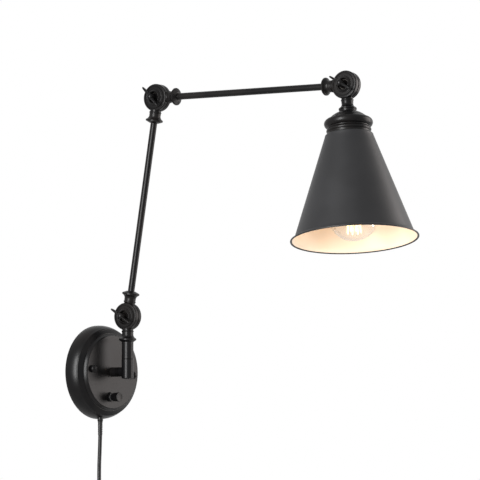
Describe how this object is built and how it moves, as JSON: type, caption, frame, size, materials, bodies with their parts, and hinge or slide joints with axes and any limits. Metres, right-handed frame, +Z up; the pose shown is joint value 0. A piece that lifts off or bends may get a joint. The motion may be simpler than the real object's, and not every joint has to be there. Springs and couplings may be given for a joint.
{
  "type": "swing arm wall sconce",
  "caption": "Wall light on a round canopy: a barrel that swivels, two arms on half lap knuckles clamped by wing screws, and a cone shade with a clear bulb, on a plug-in cord.",
  "frame": {"origin": "middle of the canopy's back, on the wall", "axes": "+Z up, -Y out of the wall into the room, +X to the right as seen from the room"},
  "size_m": [0.1632, 0.4759, 0.6244],
  "materials": {
    "black_paint": "satin",
    "shade_paint": "matte",
    "zinc_steel": "satin",
    "nylon": "matte",
    "switch_moulding": "matte",
    "wire_nut_plastic": "gloss",
    "lead_insulation": "satin",
    "cord_jacket": "satin",
    "tie_strap": "matte",
    "nickel_brass": "polished",
    "holder_moulding": "gloss",
    "aluminium_shell": "satin",
    "clear_glass": "gloss",
    "filament_glow": "satin"
  },
  "bodies": {
    "wall_mount": {"wall_bracket": "zinc_steel", "bracket_studs": "zinc_steel", "canopy": "black_paint", "canopy_cap_nuts": "black_paint", "stub_tube": "black_paint", "stub_lock_washer": "zinc_steel", "stub_lock_nut": "zinc_steel", "lower_barrel": "black_paint", "barrel_plug": "black_paint", "switch_body": "switch_moulding", "switch_nut": "black_paint", "wire_nut": "wire_nut_plastic", "canopy_leads": "lead_insulation", "strain_relief": "cord_jacket", "power_cord": "cord_jacket", "cord_coil": "cord_jacket", "coil_tie": "tie_strap", "plug_body": "cord_jacket", "plug_blades": "nickel_brass"},
    "knob": {"switch_shaft": "zinc_steel", "switch_knob": "black_paint"},
    "swivel": {"swivel_pin": "zinc_steel", "swivel_nut": "zinc_steel", "upper_barrel": "black_paint", "knuckle_1_front_eye": "black_paint", "knuckle_1_washer": "zinc_steel"},
    "wing_1": {"knuckle_1_wing_screw": "black_paint"},
    "lower_arm": {"knuckle_1_back_eye": "black_paint", "knuckle_1_friction_disc": "nylon", "knuckle_1_cap_nut": "black_paint", "lower_rod": "black_paint", "lower_leads": "lead_insulation", "knuckle_2_front_eye": "black_paint", "knuckle_2_washer": "zinc_steel"},
    "wing_2": {"knuckle_2_wing_screw": "black_paint"},
    "upper_arm": {"knuckle_2_back_eye": "black_paint", "knuckle_2_friction_disc": "nylon", "knuckle_2_cap_nut": "black_paint", "upper_rod": "black_paint", "upper_leads": "lead_insulation", "knuckle_3_front_eye": "black_paint", "knuckle_3_washer": "zinc_steel"},
    "wing_3": {"knuckle_3_wing_screw": "black_paint"},
    "head": {"knuckle_3_back_eye": "black_paint", "knuckle_3_friction_disc": "nylon", "knuckle_3_cap_nut": "black_paint", "socket_nipple": "zinc_steel", "socket_nut": "zinc_steel", "socket_cap": "black_paint", "socket_body": "holder_moulding", "socket_shell": "aluminium_shell", "socket_contact": "nickel_brass", "shade_ring": "shade_paint", "shade": "shade_paint", "bulb_glass": "clear_glass", "bulb_base": "aluminium_shell", "bulb_stem": "clear_glass", "bulb_filament": "filament_glow"}
  },
  "joints": [
    {"name": "swivel_turn", "type": "hinge", "parent": "wall_mount", "child": "swivel", "pos_m": [0, -0.0516, 0], "axis": [0, 0, 1], "range_deg": [-87.7, 72.3]},
    {"name": "knuckle_1_tilt", "type": "hinge", "parent": "swivel", "child": "lower_arm", "pos_m": [0, -0.0516, 0.0699], "axis": [0.991, 0.134, 0], "range_deg": [-14.3, 90.7]},
    {"name": "knuckle_2_tilt", "type": "hinge", "parent": "lower_arm", "child": "upper_arm", "pos_m": [0.00605, -0.09635, 0.34563], "axis": [-0.991, -0.134, 0], "range_deg": [-45, 81.4]},
    {"name": "knuckle_3_tilt", "type": "hinge", "parent": "upper_arm", "child": "head", "pos_m": [0.04348, -0.37321, 0.34221], "axis": [0.985, 0.1345, -0.108], "range_deg": [-150, 35]},
    {"name": "wing_screw_1_turn", "type": "hinge", "parent": "swivel", "child": "wing_1", "pos_m": [0, -0.0516, 0.0699], "axis": [-0.991, -0.134, 0], "range_deg": [0, 270]},
    {"name": "wing_screw_2_turn", "type": "hinge", "parent": "lower_arm", "child": "wing_2", "pos_m": [0.00605, -0.09635, 0.34563], "axis": [-0.991, -0.134, 0], "range_deg": [0, 270]},
    {"name": "wing_screw_3_turn", "type": "hinge", "parent": "upper_arm", "child": "wing_3", "pos_m": [0.04348, -0.37321, 0.34221], "axis": [-0.985, -0.1345, 0.108], "range_deg": [0, 270]},
    {"name": "switch_knob_turn", "type": "hinge", "parent": "wall_mount", "child": "knob", "pos_m": [-0.00307, -0.03, -0.03185], "axis": [0, -1, 0], "continuous": true}
  ]
}
